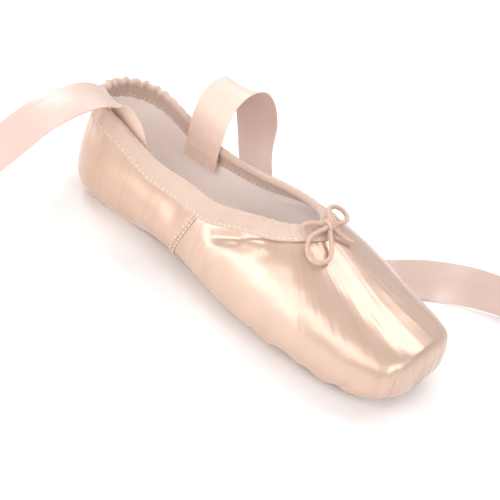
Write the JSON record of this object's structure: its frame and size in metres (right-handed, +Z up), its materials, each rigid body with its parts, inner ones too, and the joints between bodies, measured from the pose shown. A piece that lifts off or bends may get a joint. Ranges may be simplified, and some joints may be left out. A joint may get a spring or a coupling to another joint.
{
  "type": "pointe shoe",
  "caption": "Satin pointe shoe with a stiff box and flat platform, bound throat with a drawstring bow, narrow leather sole and loose ankle ribbons.",
  "frame": {"origin": "on the floor, under the middle of the shoe", "axes": "+X to the toe, +Y to the wearer's left, +Z up"},
  "size_m": [0.4188, 0.2638, 0.0783],
  "materials": {
    "satin": "glossy peach-pink satin over canvas",
    "cotton_tape": "matte peach cotton tape",
    "leather": "pale pink suede leather",
    "sock": "off-white cotton over card",
    "cotton_cord": "matte peach cotton cord",
    "ribbon_satin": "pale pink satin ribbon"
  },
  "bodies": {
    "root": {"upper": "satin", "binding": "cotton_tape", "outsole": "leather", "insole": "sock", "drawstring_knot": "cotton_cord", "drawstring_loop_right": "cotton_cord", "drawstring_loop_left": "cotton_cord", "drawstring_end_right": "cotton_cord", "drawstring_end_left": "cotton_cord", "ribbon_right": "ribbon_satin", "ribbon_left": "ribbon_satin"}
  },
  "joints": []
}
